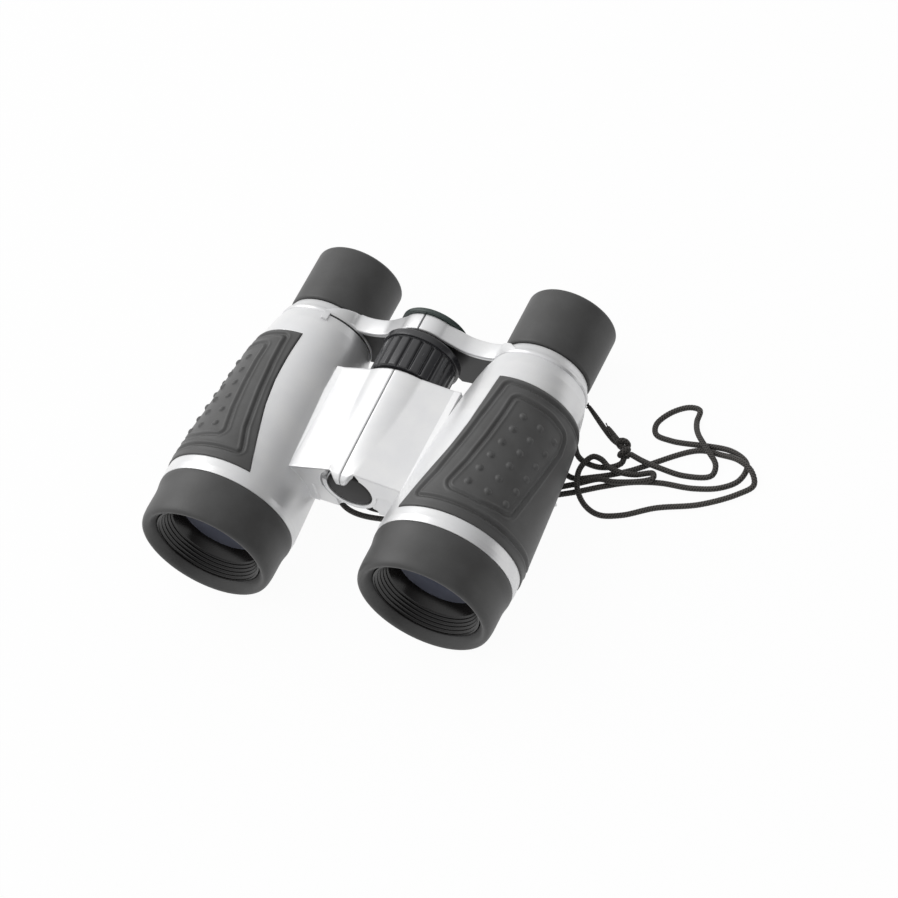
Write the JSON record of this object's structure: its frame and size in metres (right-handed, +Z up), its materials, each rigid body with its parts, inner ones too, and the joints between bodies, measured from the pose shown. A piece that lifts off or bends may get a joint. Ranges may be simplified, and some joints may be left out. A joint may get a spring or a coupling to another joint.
{
  "type": "toy binoculars",
  "caption": "Small folding binoculars with silver barrels, dark rubber grips and hoods, a fluted focus wheel on the hinge and a knotted neck cord.",
  "frame": {"origin": "on the table plane, under the middle of the binoculars' own box, the cord left out", "axes": "+X from the left barrel to the right barrel, +Y from the objective end to the eyepieces, +Z up; the barrels lie on their tapered bellies, so their axes drop 3.7 degrees to the rear"},
  "size_m": [0.1571, 0.106, 0.0419],
  "materials": {
    "silver": "satin silver lacquer on moulded plastic",
    "silver_ring": "satin silver lacquer on moulded plastic",
    "dark_rubber": "matte",
    "black_plastic": "matte",
    "black_gloss": "glossy",
    "cap_gloss": "glossy, greenish black",
    "objective_lens": "polished, bluish coating",
    "eye_lens": "polished",
    "screw_steel": "plain",
    "pin_steel": "plain",
    "cord": "braided, matte"
  },
  "bodies": {
    "right_half": {"right_barrel": "silver", "right_bridge_cap": "silver", "right_underplate": "silver", "right_screws": "screw_steel", "right_hood": "dark_rubber", "right_baffle": "black_plastic", "right_objective": "objective_lens", "right_grip": "dark_rubber", "hinge_pin": "pin_steel", "pin_disc": "black_gloss", "cord_right_end": "cord", "cord_left_end": "cord", "cord_loop": "cord", "cord_knot": "cord", "cord_tails": "cord"},
    "left_half": {"left_barrel": "silver", "left_bridge_cap": "silver", "left_underplate": "silver", "left_screws": "screw_steel", "left_hood": "dark_rubber", "left_baffle": "black_plastic", "left_objective": "objective_lens", "left_grip": "dark_rubber"},
    "focus_wheel": {"focus_wheel": "black_gloss"},
    "right_eyepiece": {"right_eyepiece": "silver_ring", "right_eyecup": "dark_rubber", "right_eye_lens": "eye_lens", "right_lens_ring": "black_plastic", "right_arm_plate": "black_plastic", "right_arm_cover": "silver", "focus_sleeve": "black_gloss", "rear_cap": "cap_gloss"},
    "left_eyepiece": {"left_eyepiece": "silver_ring", "left_eyecup": "dark_rubber", "left_eye_lens": "eye_lens", "left_lens_ring": "black_plastic", "left_arm_plate": "black_plastic", "left_arm_cover": "silver"}
  },
  "joints": [
    {"name": "fold", "type": "hinge", "parent": "right_half", "child": "left_half", "pos_m": [0, -0.04877, 0.02688], "axis": [0, -0.9979, 0.0648], "range_deg": [0, 45], "deforming": ["cord_left_end", "cord_loop"]},
    {"name": "focus_turn", "type": "hinge", "parent": "right_half", "child": "focus_wheel", "pos_m": [0, -0.04877, 0.02688], "axis": [0, 0.9979, -0.0648], "range_deg": [0, 540]},
    {"name": "right_focus_slide", "type": "slide", "parent": "right_half", "child": "right_eyepiece", "axis": [0, 0.9979, -0.0648], "range_m": [0, 0.006]},
    {"name": "left_focus_slide", "type": "slide", "parent": "left_half", "child": "left_eyepiece", "axis": [0, 0.9979, -0.0648], "range_m": [0, 0.006]}
  ],
  "couplings": [
    {"joint": "focus_turn", "follows": "right_focus_slide", "rad_per_m": 1570.8},
    {"joint": "left_focus_slide", "follows": "right_focus_slide", "ratio": 1}
  ]
}
